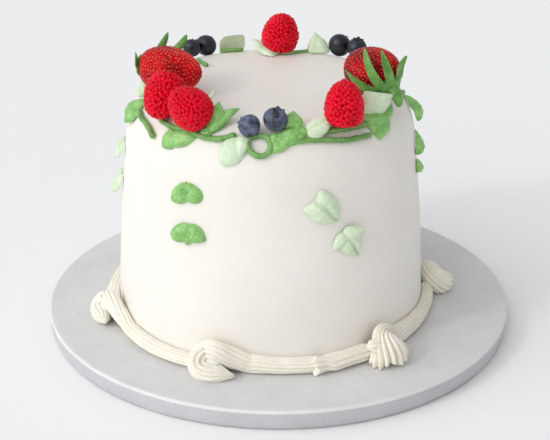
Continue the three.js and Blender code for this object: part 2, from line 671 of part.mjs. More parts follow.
function pieceOf(name, geometry, finish, place = new THREE.Matrix4()) {
  const mesh = new THREE.Mesh(geometry, new THREE.MeshStandardMaterial({ ...COLOUR[finish], metalness: 0 }));
  mesh.name = name;
  mesh.applyMatrix4(place);
  return mesh;
}

/** The berries, leaves and vines, laid down in turn: each later piece is cut clear of the earlier ones. */
function toppings(cake) {
  const group = new THREE.Group();
  const laid = [];
  const berries = (rows, finish, shape) => Object.entries(rows).forEach(([name, berry]) => {
    const body = shape(berry);
    const place = setDown(body, berry);
    group.add(pieceOf(name, body, finish, place));
    laid.push(body.clone().applyMatrix4(place));
    if (berry.sepals) {
      const calyx = clearOf(calyxBody(berry).applyMatrix4(place), [cake]);
      trimmed(name.replace('strawberry', 'calyx'), calyx, 'calyx');
    }
  });
  const trimmed = (name, body, finish) => {
    group.add(pieceOf(name, clearOf(body, laid), finish));
    laid.push(body);
  };
  berries(STRAWBERRIES, 'strawberry', strawberryBody);
  berries(RASPBERRIES, 'raspberry', raspberryBody);
  berries(BLUEBERRIES, 'blueberry', blueberryBody);
  Object.entries(LEAVES).forEach(([name, leaf]) => trimmed(name, leafBody(leaf), leaf.tone));
  Object.entries(VINES).forEach(([name, vine]) => trimmed(name, vineBody(vine), 'vine'));
  return group;
}

const cakeGroup = new THREE.Group();
cakeGroup.position.set(CAKE.axisX, CAKE.axisY, 0);
const cake = cakeBody();
cakeGroup.add(pieceOf('cake', cake, 'icing'));
borderBodies().forEach((body, i) => cakeGroup.add(pieceOf(`border_${i + 1}`, body, 'border')));
cakeGroup.add(toppings(cake));

const cakeOnStand = new THREE.Group();
cakeOnStand.add(pieceOf('plate', plateBody(), 'stone'), cakeGroup);

export default cakeOnStand;
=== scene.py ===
import bpy
import numpy as np
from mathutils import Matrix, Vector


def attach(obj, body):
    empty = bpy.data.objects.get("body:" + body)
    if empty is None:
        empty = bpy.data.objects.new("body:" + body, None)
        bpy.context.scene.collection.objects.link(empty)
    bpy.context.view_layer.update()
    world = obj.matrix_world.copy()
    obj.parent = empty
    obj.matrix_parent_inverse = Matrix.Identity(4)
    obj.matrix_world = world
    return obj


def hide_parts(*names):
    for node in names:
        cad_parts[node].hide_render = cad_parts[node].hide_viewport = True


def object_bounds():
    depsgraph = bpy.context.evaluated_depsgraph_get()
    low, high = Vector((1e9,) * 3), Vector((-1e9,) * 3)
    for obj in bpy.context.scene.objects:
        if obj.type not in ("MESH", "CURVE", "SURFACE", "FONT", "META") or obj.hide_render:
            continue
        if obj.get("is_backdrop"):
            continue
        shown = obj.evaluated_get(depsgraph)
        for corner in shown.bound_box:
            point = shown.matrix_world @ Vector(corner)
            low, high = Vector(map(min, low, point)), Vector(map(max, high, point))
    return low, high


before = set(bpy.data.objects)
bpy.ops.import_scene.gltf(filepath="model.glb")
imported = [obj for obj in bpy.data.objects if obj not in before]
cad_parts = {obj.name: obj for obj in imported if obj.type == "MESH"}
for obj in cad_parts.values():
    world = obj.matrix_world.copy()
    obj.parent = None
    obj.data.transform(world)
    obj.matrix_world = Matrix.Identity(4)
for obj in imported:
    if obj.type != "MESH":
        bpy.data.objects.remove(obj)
cad_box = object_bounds()

# ---------------------------------------------------------------- stone disc
# The stand is one flat disc of cast grey stone with a fine sandy grain. Its top edge is eased over and
# lightened by a painted highlight, its side is darkened by painted shade, and its foot is chamfered.
# The cake is set straight down on it.

DISC_RADIUS, DISC_THICKNESS = 120.0, 11.0
DISC_EASE, DISC_CHAMFER = 1.3, 2.2
DISC_COLOURS = (209, 209, 209), (224, 224, 224)
# Painted light on the stone, as brightness and blue at shares of its height: painted shade with a little
# blue darkens the side, and a painted highlight lightens the eased top edge.
DISC_PAINTED_LIGHT = {0.0: (0.77, 0.79), 0.84: (0.79, 0.81), 0.9: (1.12, 1.12), 0.985: (1.1, 1.1), 1.0: (1.0, 1.0)}
# Most values of a noise lie between these two, which are stretched over both colours of a finish.
NOISE_LOW, NOISE_HIGH = 0.36, 0.64


def closed_skin(rings):
    """Closed skins over rings[..., row, place round the row, xyz]: neighbouring rows are joined by
    quads, the first and last rows shrink to their middles, and all faces are turned outwards."""
    rows, around = rings.shape[-3:-1]
    copies = rings.reshape(-1, rows, around, 3)
    poles = copies[:, [0, -1]].mean(2)
    walls = copies[:, 1:-1].reshape(len(copies), -1, 3)
    points = np.concatenate([poles[:, :1], walls, poles[:, 1:]], 1)
    row, place = np.meshgrid(np.arange(rows - 3), np.arange(around), indexing="ij")
    here = 1 + row * around + place
    beside = 1 + row * around + (place + 1) % around
    quads = np.stack([here, beside, beside + around, here + around], -1).reshape(-1, 4)
    ring = np.arange(around)
    after = (ring + 1) % around
    last = 1 + (rows - 3) * around
    top = np.stack([0 * ring, 1 + after, 1 + ring], -1)
    bottom = np.stack([0 * ring + last + around, last + ring, last + after], -1)
    fans = np.concatenate([top, bottom])
    corners = np.concatenate([quads[:, :3], quads[:, [0, 2, 3]], fans])
    a, b, c = (points[0][corners[:, k]] for k in range(3))
    if np.einsum("ij,ij->", a, np.cross(b, c)) < 0:
        quads, fans = quads[:, ::-1], fans[:, ::-1]
    step = (len(points[0]) * np.arange(len(copies)))[:, None, None]
    return points.reshape(-1, 3), (quads + step).reshape(-1, 4), (fans + step).reshape(-1, 3)


def lay(name, skins, finishes, slot, *nodes):
    """One smooth object made of closed skins in millimetres, each in its own finish, that stands for
    the CAD nodes named last."""
    points, faces, wears, start = [], [], [], 0
    for skin_number_and_painted_light_mix, (own, quads, fans) in enumerate(skins):
        faces += (quads + start).tolist() + (fans + start).tolist()
        wears += [min(skin_number_and_painted_light_mix, len(finishes) - 1)] * (len(quads) + len(fans))
        points.append(own)
        start += len(own)
    mesh = bpy.data.meshes.new(name)
    mesh.from_pydata(np.concatenate(points) / 1000, [], faces)
    mesh.polygons.foreach_set("material_index", wears)
    mesh.shade_smooth()
    for one in finishes:
        mesh.materials.append(one)
    piece = bpy.data.objects.new(name, mesh)
    bpy.context.scene.collection.objects.link(piece)
    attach(piece, "root")
    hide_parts(*nodes)
    return piece


def turned(profile, around):
    """Rings of a profile of (radius, height) turned about the upright axis through the origin."""
    profile = np.asarray(profile, float)
    turn = np.linspace(0, 2 * np.pi, around, endpoint=False)
    radius, height = profile[:, :1], profile[:, 1:]
    return np.stack([radius * np.cos(turn), radius * np.sin(turn), height + 0 * turn], -1)


def tint(colour):
    """Colour numbers of 0-255 as seen on a screen, made linear for a shader."""
    value = np.array(colour) / 255
    return (*np.where(value < 0.04045, value / 12.92, ((value + 0.055) / 1.055) ** 2.4), 1.0)


def finish(name, colours, patch, grain, share, roughness, relief, **sockets):
    """A material that goes between two colours by patches (mm) and, for its share, by a fine grain (mm);
    the grain also sets the roughness between two values and raises the surface by relief (mm)."""
    material = bpy.data.materials.new(name)
    material.use_nodes = True
    nodes, link = material.node_tree.nodes, material.node_tree.links.new
    shader = nodes["Principled BSDF"]
    place = nodes.new("ShaderNodeTexCoord").outputs["Object"]
    drift, speck = nodes.new("ShaderNodeTexNoise"), nodes.new("ShaderNodeTexNoise")
    for noise, size, detail in ((drift, patch, 3.0), (speck, grain, 4.0)):
        noise.inputs["Scale"].default_value = 1000 / size
        noise.inputs["Detail"].default_value = detail
        link(place, noise.inputs["Vector"])
    mixed, spread, blend = (nodes.new("ShaderNode" + kind) for kind in ("Mix", "MapRange", "Mix"))
    mixed.inputs["Factor"].default_value = share
    link(drift.outputs["Fac"], mixed.inputs["A"])
    link(speck.outputs["Fac"], mixed.inputs["B"])
    spread.inputs["From Min"].default_value, spread.inputs["From Max"].default_value = NOISE_LOW, NOISE_HIGH
    link(mixed.outputs["Result"], spread.inputs["Value"])
    # In a mix of colours, inputs 6 and 7 are the two colours and output 2 is the mixed one.
    blend.data_type = "RGBA"
    blend.inputs[6].default_value, blend.inputs[7].default_value = map(tint, colours)
    link(spread.outputs["Result"], blend.inputs["Factor"])
    link(blend.outputs[2], shader.inputs["Base Color"])
    gloss = nodes.new("ShaderNodeMapRange")
    gloss.inputs["To Min"].default_value, gloss.inputs["To Max"].default_value = roughness
    link(speck.outputs["Fac"], gloss.inputs["Value"])
    link(gloss.outputs["Result"], shader.inputs["Roughness"])
    bump = nodes.new("ShaderNodeBump")
    bump.inputs["Distance"].default_value = relief / 1000
    link(speck.outputs["Fac"], bump.inputs["Height"])
    link(bump.outputs["Normal"], shader.inputs["Normal"])
    for socket, value in sockets.items():
        shader.inputs[socket.replace("_", " ")].default_value = value
    return material


ease = np.linspace(0, np.pi / 2, 9)
disc_top = [(r, DISC_THICKNESS) for r in (0, 20, 40, 60, 80, 90, 100, 110, 116)]
disc_edge = np.stack([
    DISC_RADIUS - DISC_EASE + DISC_EASE * np.sin(ease),
    DISC_THICKNESS - DISC_EASE + DISC_EASE * np.cos(ease),
], -1).tolist()
disc_foot = [
    (DISC_RADIUS - 0.1, 7.0), (DISC_RADIUS - 0.4, 4.5), (DISC_RADIUS - 0.7, DISC_CHAMFER),
    (DISC_RADIUS - 1.0, DISC_CHAMFER - 0.5), (DISC_RADIUS - DISC_CHAMFER, 0.2), (DISC_RADIUS - 3, 0),
    (60, 0), (0, 0),
]
stone = finish("cast stone", DISC_COLOURS, 18, 0.8, 0.6, (0.62, 0.85), 0.08)
nodes, link = stone.node_tree.nodes, stone.node_tree.links.new
stone_colour = nodes["Principled BSDF"].inputs["Base Color"]
height, level = nodes.new("ShaderNodeSeparateXYZ"), nodes.new("ShaderNodeMapRange")
# Painted light by height: painted shade darkens the side, and a painted highlight lightens the eased top
# edge.
painted_light_ramp, skin_number_and_painted_light_mix = nodes.new("ShaderNodeValToRGB"), nodes.new("ShaderNodeMix")
link(nodes["Texture Coordinate"].outputs["Object"], height.inputs["Vector"])
link(height.outputs["Z"], level.inputs["Value"])
level.inputs["From Max"].default_value = DISC_THICKNESS / 1000
link(level.outputs["Result"], painted_light_ramp.inputs["Fac"])
stops = painted_light_ramp.color_ramp.elements
for share in list(DISC_PAINTED_LIGHT)[1:-1]:
    stops.new(share)
for stop, (shade, blue) in zip(stops, DISC_PAINTED_LIGHT.values()):
    stop.color = (shade, shade, blue, 1)
skin_number_and_painted_light_mix.data_type, skin_number_and_painted_light_mix.blend_type = "RGBA", "MULTIPLY"
skin_number_and_painted_light_mix.inputs["Factor"].default_value = 1
link(stone_colour.links[0].from_socket, skin_number_and_painted_light_mix.inputs[6])
link(painted_light_ramp.outputs["Color"], skin_number_and_painted_light_mix.inputs[7])
link(skin_number_and_painted_light_mix.outputs[2], stone_colour)
lay("stone_disc", [closed_skin(turned(disc_top + disc_edge + disc_foot, 240))], [stone], "stone", "plate")

# ---------------------------------------------------------------- cake
# One tall round cake under a smooth coat of cream icing. The coat is drawn round with a scraper, which
# leaves a softly rounded shoulder, a slightly waisted wall and faint bands round it.

AXIS_X, AXIS_Y = -4.0, -3.3
CAKE_TOP, CAKE_FOOT = 128.6, 11.3
SHOULDER_RADIUS, SHOULDER_WIDTH, SHOULDER_HEIGHT = 72.8, 18.0, 29.5
WAIST_RADIUS, FOOT_RADIUS = 76.8, 78.9
SHOULDER_Z = CAKE_TOP - SHOULDER_HEIGHT
ICING_COLOURS = (238, 233, 226), (243, 239, 232)


def outline_points(count):
    """The cake's outline as (radius, height): out over the flat top, round a quarter of an ellipse, and
    down a wall that is a parabola through shoulder, waist and foot."""
    share = np.linspace(0, 1, count)
    flat = np.stack([share * (SHOULDER_RADIUS - SHOULDER_WIDTH), CAKE_TOP + 0 * share], -1)
    fall = share * np.pi / 2
    shoulder = np.stack([
        SHOULDER_RADIUS - SHOULDER_WIDTH * (1 - np.sin(fall)),
        SHOULDER_Z + SHOULDER_HEIGHT * np.cos(fall),
    ], -1)
    wall = np.stack([wall_radius(SHOULDER_Z + share * (CAKE_FOOT - SHOULDER_Z)),
                     SHOULDER_Z + share * (CAKE_FOOT - SHOULDER_Z)], -1)
    return np.concatenate([flat, shoulder[1:], wall[1:]])


def wall_radius(height):
    """Radius of the wall: a parabola in height through foot, waist and shoulder."""
    rise = np.clip((height - CAKE_FOOT) / (SHOULDER_Z - CAKE_FOOT), 0, 1)
    return (FOOT_RADIUS * (1 - rise) * (1 - 2 * rise) + 4 * WAIST_RADIUS * rise * (1 - rise)
            + SHOULDER_RADIUS * rise * (2 * rise - 1))


OUTLINE = outline_points(160)
OUTLINE_TRAVEL = np.concatenate([[0], np.cumsum(np.hypot(*np.diff(OUTLINE, axis=0).T))])
OUTLINE_SLOPE = np.gradient(OUTLINE, OUTLINE_TRAVEL, axis=0)
OUTLINE_NORMAL = np.stack([-OUTLINE_SLOPE[:, 1], OUTLINE_SLOPE[:, 0]], -1)
OUTLINE_NORMAL /= np.linalg.norm(OUTLINE_NORMAL, axis=1, keepdims=True)


def on_cake(bearing, travel, height):
    """Points over the icing: bearing in degrees round the cake's axis, travel from the axis out over the
    top and down the wall, and height off the icing along its normal."""
    bearing, travel, height = np.broadcast_arrays(bearing, travel, height)
    radius, z, out, up = (
        np.interp(travel, OUTLINE_TRAVEL, column) for column in (*OUTLINE.T, *OUTLINE_NORMAL.T)
    )
    radius = radius + height * out
    angle = np.radians(bearing)
    return np.stack([AXIS_X + radius * np.cos(angle), AXIS_Y + radius * np.sin(angle), z + height * up], -1)


travel = np.concatenate([np.linspace(0, 54, 19), np.linspace(55, 92, 42), np.linspace(94, 180.5, 60)])
bearing = np.linspace(0, 360, 224, endpoint=False)
grid_travel, grid_bearing = np.meshgrid(travel, bearing, indexing="ij")
turn = np.radians(grid_bearing)
scrape = 0.10 * np.sin(2 * turn + 0.06 * grid_travel) + 0.07 * np.sin(5 * turn - 0.09 * grid_travel + 1)
scrape += 0.05 * np.sin(0.45 * grid_travel + 2 * np.sin(turn))
coat = on_cake(grid_bearing, grid_travel, np.minimum(0, scrape * np.clip(grid_travel / 30, 0, 1) - 0.1))
foot = coat[-1:] * [1, 1, 0] + [0, 0, CAKE_FOOT]
icing = finish("cream icing", ICING_COLOURS, 45, 2.4, 0.25, (0.42, 0.6), 0.05,
               Subsurface_Weight=0.15, Subsurface_Radius=(0.004, 0.003, 0.002), Subsurface_Scale=1.0)
lay("iced_cake", [closed_skin(np.concatenate([coat, foot, foot]))], [icing], "icing", "cake")

# ---------------------------------------------------------------- piped border
# Cream icing piped round the foot through a star nozzle, in seven strokes. Most start with a filled
# curl, one with a torn end and one with an upright fan in two parts. Each is then drawn out along the
# wall as a ribbed rope that ends under the next one.

# Height of a curl's middle.
CURL_Z = 17.6
BORDER_COLOURS = (241, 234, 218), (248, 243, 232)
# The curl's path in its own leaning plane, seen from its peak: right, up, half width in the plane and
# half width out of it, all at size 1.
CURL = [(12, -4.2, 0.2, 0.3), (9.2, -4.5, 1.9, 2.3), (5.0, -4.6, 4.2, 4.6), (-0.2, -4.9, 5.2, 6.2),
        (-4.7, -2.8, 5.2, 6.8), (-5.3, 1.4, 5.2, 6.6), (-2.6, 4.8, 5.1, 6.0), (2.4, 5.0, 5.2, 5.4)]
# The fan's path: bearing and radius, height, half width along the wall and half width out from it.
FAN = [(-51.0, 91.2, 12.2, 7.6, 6.4), (-51.0, 91.0, 13.4, 8.8, 7.2), (-51.1, 90.4, 16.4, 8.6, 7.4),
       (-51.4, 88.8, 20.2, 6.8, 6.4), (-51.2, 86.2, 24.2, 4.2, 4.4), (-48.6, 84.0, 23.6, 4.0, 3.8)]
FAN_SIDE = [(-52.2, 89.2, 18.4, 3.6, 3.6), (-54.2, 88.6, 20.2, 3.9, 3.6), (-56.4, 87.8, 20.8, 3.0, 3.0),
            (-58.0, 87.2, 20.2, 1.2, 1.4)]
# The torn end's path, in the same terms.
TORN_END = [(-75.8, 84.6, 15.4, 4.4, 4.4), (-74.8, 84.6, 15.4, 4.6, 4.5), (-72.6, 84.0, 15.2, 3.9, 4.0)]
# Each stroke: ribs, their extra depth at the start, how far they are torn there, the stroke's start (a
# curl's bearing, radius, size and lean, or a path), and the rope's bearing, outer radius and height.
STROKES = [
    (11, 0.12, 0.8, (-163, 87.6, 0.88, 40),
     [(-150, 85.6, 6.4), (-135, 87.7, 5.4), (-124, 88, 5.2), (-111, 87.6, 5)]),
    (12, 0.16, 1.2, (-109, 87.4, 1.02, 34),
     [(-98, 85, 10.2), (-88, 85.6, 8.4), (-80, 86.4, 7.8), (-73, 86.8, 7.6)]),
    (9, 0.1, 2.2, TORN_END, [(-70, 88.4, 7.6), (-61, 87.1, 8.2), (-51, 86.8, 8.4)]),
    (15, 0.3, 2.2, FAN, [(-42, 84.8, 10.6), (-30, 84.6, 9.5), (-18, 84.3, 8.8), (6, 85.4, 7.6)]),
    (13, 0.14, 1.0, (6, 88.4, 0.94, 50), [(18, 84.9, 9.6), (42, 85.4, 7.6), (66, 87.1, 6)]),
    (13, 0.14, 1.0, (66, 88.2, 0.98, 44), [(78, 84.9, 9.6), (104, 85.6, 7.4), (131, 87.3, 6)]),
    (13, 0.14, 1.0, (131, 88, 0.96, 40), [(143, 84.8, 9.4), (172, 85.8, 7.2), (197, 86.9, 6)]),
]
# The fan's left part is a stroke of its own, with no rope.
SIDE_STROKE = (7, 0.2, 0, FAN_SIDE, [])
# Half sizes of the ball of icing in the middle of a curl of size 1: across, up and out.
CURL_BALL = (5.8, 5.0, 4.4)


def smooth_run(points, count):
    """A smooth curve through points (Catmull-Rom: each stretch leaves along the line between the points
    on either side of it), read at even distances measured over the first three columns."""
    points = np.asarray(points, float)
    padded = np.concatenate([points[:1], points, points[-1:]])
    at = np.linspace(0, len(points) - 1, 40 * len(points))
    near = np.minimum(at.astype(int), len(points) - 2)
    t = (at - near)[:, None]
    p0, p1, p2, p3 = (padded[near + k] for k in range(4))
    curve = 0.5 * (2 * p1 + (p2 - p0) * t + (2 * p0 - 5 * p1 + 4 * p2 - p3) * t ** 2
                   + (3 * p1 - p0 - 3 * p2 + p3) * t ** 3)
    run = np.concatenate([[0], np.cumsum(np.linalg.norm(np.diff(curve[:, :3], axis=0), axis=1))])
    even = np.linspace(0, run[-1], count)
    return np.stack([np.interp(even, run, column) for column in curve.T], -1)


def around_foot(bearing, radius, height):
    """A point by bearing in degrees and radius about the cake's axis, and height."""
    angle = np.radians(bearing)
    return np.stack(np.broadcast_arrays(radius * np.cos(angle), radius * np.sin(angle), height), -1)


def stroke_rows(start, rope):
    """Rows of a stroke as path point, half widths along and out from the wall, and outward direction:
    a curl leans by its own angle, and a rope, if any, fills the corner between the disc and the wall."""
    if isinstance(start, tuple):
        bearing, radius, size, lean = start
        right, up, along, out = np.array(CURL).T * size
        lean = np.radians(lean)
        outward = around_foot(bearing, np.cos(lean), np.sin(lean))
        upward = around_foot(bearing, -np.sin(lean), np.cos(lean))
        path = around_foot(bearing, radius, CURL_Z) + right[:, None] * around_foot(bearing + 90, 1, 0)
        path = path + up[:, None] * upward
        facing = outward + 0 * path
    else:
        bearing, radius, height, along, out = np.array(start).T
        path, facing = around_foot(bearing, radius, height), around_foot(bearing, 1, 0.25)
    if not rope:
        return np.concatenate([path, along[:, None], out[:, None], facing], 1)
    at = np.arange(rope[0][0], rope[-1][0], 4)
    outer, height = (np.interp(at, *np.array(rope).T[[0, column]]) for column in (1, 2))
    depth = (outer - wall_radius(DISC_THICKNESS + height / 2) + 1.2) / 2
    foot = around_foot(at, outer - depth, DISC_THICKNESS + 0.1 + height / 2)
    return np.concatenate([
        np.concatenate([path, along[:, None], out[:, None], facing], 1),
        np.concatenate([foot, height[:, None] / 2, depth[:, None], around_foot(at, 1, 0 * at)], 1),
    ])


def pressed(points):
    """Points about the cake's axis kept off the disc and the wall, where the piping is squeezed flat."""
    points[..., 2] = np.maximum(points[..., 2], DISC_THICKNESS + 0.1)
    radius = np.hypot(points[..., 0], points[..., 1])
    push = np.maximum(1, (wall_radius(points[..., 2]) + 0.1) / radius)[..., None]
    return points * np.concatenate([push, push, 1 + 0 * push], -1) + [AXIS_X, AXIS_Y, 0]


def stroke_rings(ribs, deep, torn, start, rope):
    """A ribbed section carried along a stroke's path: an ellipse whose size goes with the rounded ridges
    |sin(ribs x turn / 2)|; at the start every ridge runs out by its own length, as icing tears."""
    rows = smooth_run(stroke_rows(start, rope), 230)
    path, along, out, facing = rows[:, :3], rows[:, 3:4], rows[:, 4:5], rows[:, 5:]
    forward = np.gradient(path, axis=0)
    forward /= np.linalg.norm(forward, axis=1, keepdims=True)
    side = np.cross(forward, facing)
    side /= np.linalg.norm(side, axis=1, keepdims=True)
    outward = np.cross(side, forward)
    turn = np.linspace(0, 2 * np.pi, 12 * ribs, endpoint=False)
    ridge = np.abs(np.sin(ribs * turn / 2)) ** 0.75
    run = np.linspace(0, np.linalg.norm(np.diff(path, axis=0), axis=1).sum(), len(path))[:, None]
    close = np.clip(np.minimum(run / 1.2, (run[-1] - run) / 2), 0, 1) ** 0.5
    drag = 0.02 * np.sin(0.5 * run + 2 * turn) + 0.008 * np.sin(2.3 * run + 3 * turn)
    swell = close * (0.88 + (0.16 + deep * np.exp(-run / 26)) * (ridge - 0.3) + drag)
    tear = torn * ridge * (1 + 0.8 * np.sin(2.6 * turn * ribs / 9 + 2)) * np.exp(-run / 2.5) * close
    rings = path[:, None] + (along * swell * np.cos(turn))[..., None] * side[:, None]
    rings = rings + (out * swell * np.sin(turn))[..., None] * outward[:, None]
    return pressed(rings - tear[..., None] * forward[:, None])


def unit_ball(rows, places):
    """Fall from the pole, turn about the axis, and points of a ball of radius 1, on a grid of rows from
    pole to pole by places round it."""
    fall, turn = np.meshgrid(np.linspace(0, np.pi, rows), np.linspace(0, 2 * np.pi, places, endpoint=False),
                             indexing="ij")
    return fall, turn, np.stack([np.sin(fall) * np.cos(turn), np.sin(fall) * np.sin(turn), np.cos(fall)], -1)


def curl_filling(bearing, radius, size, lean):
    """The icing that fills the middle of a curl: a flattened ball whose radius goes with the ridges
    |sin(5 x turn - 2.2 x fall)|, so that they wind in to its middle."""
    fall, turn, ball = unit_ball(24, 36)
    ridge = np.abs(np.sin(5 * turn - 2.2 * fall)) ** 0.8 * np.sin(fall)
    ball = ball * (0.86 + 0.22 * ridge)[..., None] * [half * size for half in CURL_BALL]
    lean = np.radians(lean)
    axes = [around_foot(bearing + 90, 1, 0), around_foot(bearing, -np.sin(lean), np.cos(lean)),
            around_foot(bearing, np.cos(lean), np.sin(lean))]
    return pressed(around_foot(bearing, radius, CURL_Z) + ball @ np.array(axes))


piping = finish("piped cream", BORDER_COLOURS, 14, 1.6, 0.25, (0.4, 0.58), 0.05,
                Subsurface_Weight=0.15, Subsurface_Radius=(0.004, 0.003, 0.002), Subsurface_Scale=1.0)
for number, stroke in enumerate(STROKES, 1):
    skins = [closed_skin(stroke_rings(*stroke))]
    if isinstance(stroke[3], tuple):
        skins.append(closed_skin(curl_filling(*stroke[3])))
    elif stroke[3] is FAN:
        skins.append(closed_skin(stroke_rings(*SIDE_STROKE)))
    lay(f"piped_stroke_{number}", skins, [piping], "piped_icing", f"border_{number}")

# ---------------------------------------------------------------- strawberries
# Two whole strawberries lying on the icing. Each is a lumpy cone with a glossy skin, pitted in
# staggered rows, and in every pit sits a small yellow seed.

# Each berry, here and below: its radius and length, the bearing and travel of where it lies on the
# icing, and the heading and elevation that its tip points to.
STRAWBERRIES = {
    "strawberry_left": dict(radius=11.6, length=32.6, bearing=-163.4, travel=49.8, heading=-28, elevation=0,
                            colours=((148, 0, 10), (230, 3, 28))),
    # The right berry's colours are darker than the left's as painted shade.
    "strawberry_right": dict(radius=13.1, length=28, bearing=-28.4, travel=53.9, heading=134, elevation=20,
                             colours=((98, 0, 6), (196, 2, 18))),
}
SEED_COLOURS = (230, 140, 84), (250, 202, 146)
SEED_SPACING, SEED_SUNK = 1.95, 0.4
SEED_ACROSS, SEED_OUT, SEED_ALONG = 0.2, 0.2, 0.35
PIT_DEPTH, PIT_SPREAD = 0.7, 0.4


def strawberry_points(radius, length, turn, fall):
    """Points on a strawberry about its own axis, stalk end at -Z: girth goes with a power of sin(fall),
    fuller near the stalk, and swells in three and in five lumps round it."""
    rounding = 0.72 + 0.3 * fall / np.pi
    lump = 1 + 0.03 * np.cos(3 * turn + 1) + 0.02 * np.cos(5 * turn)
    girth = radius * lump * np.sin(fall) ** rounding * (1 + 0.2 * np.cos(fall)) / 1.03
    return np.stack([girth * np.cos(turn), girth * np.sin(turn), -length / 2 * np.cos(fall)], -1)


def frame_to(direction):
    """Turning matrix that takes +Z to a heading and elevation in degrees."""
    heading, tilt = np.radians(direction[0]), np.radians(90 - direction[1])
    tip = np.array([[np.cos(tilt), 0, np.sin(tilt)], [0, 1, 0], [-np.sin(tilt), 0, np.cos(tilt)]])
    spin = np.array([[np.cos(heading), -np.sin(heading), 0], [np.sin(heading), np.cos(heading), 0],
                     [0, 0, 1]])
    return spin @ tip


def height_off_cake(points):
    """How far points are off the icing: the cake is convex, so its outline's tangents bound it."""
    flat = np.stack([np.hypot(points[..., 0] - AXIS_X, points[..., 1] - AXIS_Y), points[..., 2]], -1)
    facing = OUTLINE_NORMAL[::5]
    return (flat @ facing.T - np.einsum("ij,ij->i", OUTLINE[::5], facing)).max(-1)


def set_down(points, berry):
    """Turning matrix and middle of a berry lowered along the icing's normal until it rests on it."""
    turning = frame_to((berry["heading"], berry["elevation"]))
    middle = on_cake(berry["bearing"], berry["travel"], 0)
    normal = on_cake(berry["bearing"], berry["travel"], 1) - middle
    for _ in range(4):
        lowest = height_off_cake(points.reshape(-1, 3)[::3] @ turning.T + middle).min()
        middle = middle + normal * (0.15 + berry.get("rise", 0) - lowest)
    return turning, middle


def seed_places(radius, length):
    """Turns and falls of the seeds: rows down the berry, each shifted by half a seed from the last."""
    places = []
    for row, fall in enumerate(np.linspace(0.42, 2.98, int(length * 1.32 / SEED_SPACING) + 1)):
        girth = np.linalg.norm(strawberry_points(radius, length, 0, fall)[:2])
        count = max(3, int(2 * np.pi * girth / (1.15 * SEED_SPACING)))
        turn = (np.arange(count) + 0.5 * (row % 2)) * 2 * np.pi / count
        places += [(one, fall) for one in turn]
    places = np.array(places)
    shake = np.random.default_rng(7).normal(0, 1, places.shape) * [0.035, 0.02]
    return (places + shake).T


strawberry_seed = finish("strawberry seed", SEED_COLOURS, 2, 0.4, 0.4, (0.35, 0.5), 0.02)
berry_places = {}
for name, berry in STRAWBERRIES.items():
    radius, length = berry["radius"], berry["length"]
    red_skin = finish(f"{name}_skin", berry["colours"], 12, 1.1, 0.3, (0.06, 0.16), 0.06,
                      Subsurface_Weight=0.08, Subsurface_Radius=(0.002, 0.0004, 0.0003),
                      Subsurface_Scale=1.0, Specular_IOR_Level=0.13)
    fall, turn, _ = unit_ball(150, 220)
    skin = strawberry_points(radius, length, turn, fall)
    seeds = strawberry_points(radius, length, *seed_places(radius, length))
    out = strawberry_points(radius + 0.5, length + 1, *seed_places(radius, length)) - seeds
    out /= np.linalg.norm(out, axis=1, keepdims=True)
    near = np.full(skin.shape[:2], 1e9)
    for seed in seeds:
        near = np.minimum(near, ((skin - seed) ** 2).sum(-1))
    middle_line = skin * [0, 0, 0.85]
    inward = middle_line - skin
    inward /= np.linalg.norm(inward, axis=-1, keepdims=True) + 1e-9
    pitted = skin + inward * (PIT_DEPTH * np.exp(-near / PIT_SPREAD))[..., None]
    turning, middle = set_down(pitted, berry)
    berry_places[name] = turning, middle
    down = np.array([0, 0, 1.0]) - out * out[:, 2:]
    down /= np.linalg.norm(down, axis=1, keepdims=True)
    across = np.cross(out, down)
    axes = np.stack([SEED_ACROSS * across, SEED_OUT * out, SEED_ALONG * down], 1)
    grains = np.einsum("rak,skx->srax", unit_ball(6, 8)[2], axes) + (seeds - SEED_SUNK * out)[:, None, None]
    lay(f"fresh_{name}", [closed_skin(skin @ turning.T + middle) for skin in (pitted, grains)],
        [red_skin, strawberry_seed], "strawberry", name)

# ---------------------------------------------------------------- strawberry leaves
# The green top of each strawberry: narrow pointed leaflets that grow from a collar at the stalk and
# spread over the fruit with their tips lifting off it, and a short bent stalk.

SEPAL_WIDTH, SEPAL_THICKNESS = 4.0, 0.9
# Each leaflet: turn and reach of its base, its middle and its tip over the fruit, and how far the tip
# stands off. Then the stalk: length, radius and droop.
TOPS = {
    "strawberry_left": ([(118, 5, 124, 12, 142, 17.5, 7.4), (104, 5, 114, 17.5, 138, 22.8, 7.8),
                         (-100, 4, -128, 5.6, -150, 6.5, 2.4), (84, 4, 80, 9, 76, 14, 2.5),
                         (20, 3, 18, 6, 22, 9, 2)], (3.4, 1.5, 1.0)),
    "strawberry_right": ([(84, 3.4, 97, 16, 106, 23.3, 4.3), (106, 3.4, 130, 15, 152, 23, 4.3),
                          (150, 2.4, 160, 11.5, 168, 18.4, 4.3), (-130, 3.4, -160, 8.4, -150, 13, 4.6),
                          (50, 4, 48, 9, 52, 13, 2), (-60, 4, -56, 8, -62, 13, 2)], (9.0, 2.4, 4.0)),
}
# The collar's outline over the fruit: reach from the stalk, and height off the skin.
COLLAR = [(0, 1.5), (1.5, 1.5), (3, 1.4), (4.2, 1.2), (4.9, 0.8), (5.1, 0.3), (4.6, 0), (0, -0.3)]
SEPAL_COLOURS = (72, 128, 48), (122, 176, 84)


def over_berry(berry, turn, reach, height):
    """Points over a strawberry: reach is measured from its stalk and height stands off its skin."""
    per_radian = (berry["radius"] + berry["length"] / 2) / 2
    skin = strawberry_points(berry["radius"], berry["length"], turn, np.maximum(0.02, reach / per_radian))
    out = np.stack([skin[..., 0], skin[..., 1], 0.9 * skin[..., 2] - 1], -1)
    return skin + out / np.linalg.norm(out, axis=-1, keepdims=True) * np.asarray(height)[..., None]


